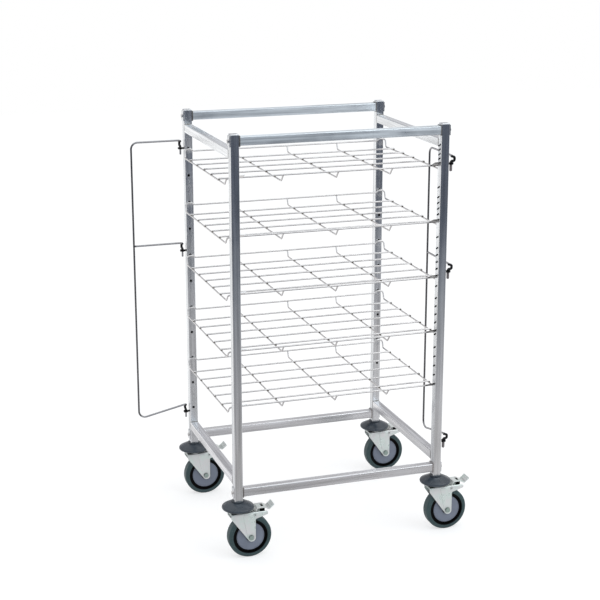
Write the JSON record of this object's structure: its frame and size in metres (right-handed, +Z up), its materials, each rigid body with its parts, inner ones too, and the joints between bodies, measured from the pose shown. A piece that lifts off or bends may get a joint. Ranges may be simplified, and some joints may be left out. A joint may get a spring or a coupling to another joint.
{
  "type": "tray rack trolley",
  "caption": "Open stainless tray rack trolley: square tube frame on braked swivel casters with corner bumpers, hook-in wire shelves and swinging wire side gates.",
  "frame": {"origin": "on the floor, midway between the four posts", "axes": "+X to the right along the front, +Y to the back, +Z up along the posts"},
  "size_m": [0.9098, 0.6, 1.25],
  "materials": {
    "stainless_tube": "polished",
    "stainless_wire": "bright drawn",
    "zinc_plate": "bright zinc plated",
    "bumper_rubber": "matt moulded",
    "tyre_rubber": "matt moulded",
    "black_nylon": "moulded",
    "grey_nylon": "moulded"
  },
  "bodies": {
    "frame": {"post_front_left": "stainless_tube", "caster_stem_front_left": "zinc_plate", "post_front_right": "stainless_tube", "caster_stem_front_right": "zinc_plate", "post_rear_left": "stainless_tube", "caster_stem_rear_left": "zinc_plate", "post_rear_right": "stainless_tube", "caster_stem_rear_right": "zinc_plate", "rail_top_front": "stainless_tube", "rail_top_rear": "stainless_tube", "rail_top_left": "stainless_tube", "rail_top_right": "stainless_tube", "rail_bottom_front": "stainless_tube", "rail_bottom_rear": "stainless_tube", "rail_bottom_left": "stainless_tube", "rail_bottom_right": "stainless_tube", "shelf_1": "stainless_wire", "shelf_2": "stainless_wire", "shelf_3": "stainless_wire", "shelf_4": "stainless_wire", "shelf_5": "stainless_wire", "gate_eyes_left": "black_nylon", "gate_eyes_right": "black_nylon", "post_caps": "stainless_tube", "rail_bolts": "zinc_plate", "rail_nuts": "zinc_plate", "washer_plates": "stainless_tube", "bumpers": "bumper_rubber", "swivel_rings": "black_nylon"},
    "left_gate": {"gate_left": "stainless_wire"},
    "right_gate": {"gate_right": "stainless_wire"},
    "caster_front_left": {"fork_front_left": "zinc_plate", "axle_front_left": "zinc_plate"},
    "rolling_front_left": {"tyre_front_left": "tyre_rubber", "wheel_front_left": "black_nylon", "wheel_covers_front_left": "grey_nylon"},
    "pedal_front_left": {"brake_pedal_front_left": "zinc_plate"},
    "caster_front_right": {"fork_front_right": "zinc_plate", "axle_front_right": "zinc_plate"},
    "rolling_front_right": {"tyre_front_right": "tyre_rubber", "wheel_front_right": "black_nylon", "wheel_covers_front_right": "grey_nylon"},
    "pedal_front_right": {"brake_pedal_front_right": "zinc_plate"},
    "caster_rear_left": {"fork_rear_left": "zinc_plate", "axle_rear_left": "zinc_plate"},
    "rolling_rear_left": {"tyre_rear_left": "tyre_rubber", "wheel_rear_left": "black_nylon", "wheel_covers_rear_left": "grey_nylon"},
    "pedal_rear_left": {"brake_pedal_rear_left": "zinc_plate"},
    "caster_rear_right": {"fork_rear_right": "zinc_plate", "axle_rear_right": "zinc_plate"},
    "rolling_rear_right": {"tyre_rear_right": "tyre_rubber", "wheel_rear_right": "black_nylon", "wheel_covers_rear_right": "grey_nylon"},
    "pedal_rear_right": {"brake_pedal_rear_right": "zinc_plate"}
  },
  "joints": [
    {"name": "left_gate_swing", "type": "hinge", "parent": "frame", "child": "left_gate", "pos_m": [-0.336, 0.2525, 0.7], "axis": [0, 0, 1], "range_deg": [-40, 90]},
    {"name": "right_gate_swing", "type": "hinge", "parent": "frame", "child": "right_gate", "pos_m": [0.336, -0.2525, 0.7], "axis": [0, 0, -1], "range_deg": [0, 130]},
    {"name": "caster_swivel_front_left", "type": "hinge", "parent": "frame", "child": "caster_front_left", "pos_m": [-0.3125, -0.2525, 0.14], "axis": [0, 0, 1], "continuous": true},
    {"name": "wheel_roll_front_left", "type": "hinge", "parent": "caster_front_left", "child": "rolling_front_left", "pos_m": [-0.2795, -0.2525, 0.065], "axis": [0, 1, 0], "continuous": true},
    {"name": "brake_press_front_left", "type": "hinge", "parent": "caster_front_left", "child": "pedal_front_left", "pos_m": [-0.2665, -0.2525, 0.134], "axis": [0, 1, 0], "range_deg": [0, 10]},
    {"name": "caster_swivel_front_right", "type": "hinge", "parent": "frame", "child": "caster_front_right", "pos_m": [0.3125, -0.2525, 0.14], "axis": [0, 0, 1], "continuous": true},
    {"name": "wheel_roll_front_right", "type": "hinge", "parent": "caster_front_right", "child": "rolling_front_right", "pos_m": [0.3455, -0.2525, 0.065], "axis": [0, 1, 0], "continuous": true},
    {"name": "brake_press_front_right", "type": "hinge", "parent": "caster_front_right", "child": "pedal_front_right", "pos_m": [0.3585, -0.2525, 0.134], "axis": [0, 1, 0], "range_deg": [0, 10]},
    {"name": "caster_swivel_rear_left", "type": "hinge", "parent": "frame", "child": "caster_rear_left", "pos_m": [-0.3125, 0.2525, 0.14], "axis": [0, 0, 1], "continuous": true},
    {"name": "wheel_roll_rear_left", "type": "hinge", "parent": "caster_rear_left", "child": "rolling_rear_left", "pos_m": [-0.2795, 0.2525, 0.065], "axis": [0, 1, 0], "continuous": true},
    {"name": "brake_press_rear_left", "type": "hinge", "parent": "caster_rear_left", "child": "pedal_rear_left", "pos_m": [-0.2665, 0.2525, 0.134], "axis": [0, 1, 0], "range_deg": [0, 10]},
    {"name": "caster_swivel_rear_right", "type": "hinge", "parent": "frame", "child": "caster_rear_right", "pos_m": [0.3125, 0.2525, 0.14], "axis": [0, 0, 1], "continuous": true},
    {"name": "wheel_roll_rear_right", "type": "hinge", "parent": "caster_rear_right", "child": "rolling_rear_right", "pos_m": [0.3455, 0.2525, 0.065], "axis": [0, 1, 0], "continuous": true},
    {"name": "brake_press_rear_right", "type": "hinge", "parent": "caster_rear_right", "child": "pedal_rear_right", "pos_m": [0.3585, 0.2525, 0.134], "axis": [0, 1, 0], "range_deg": [0, 10]}
  ]
}
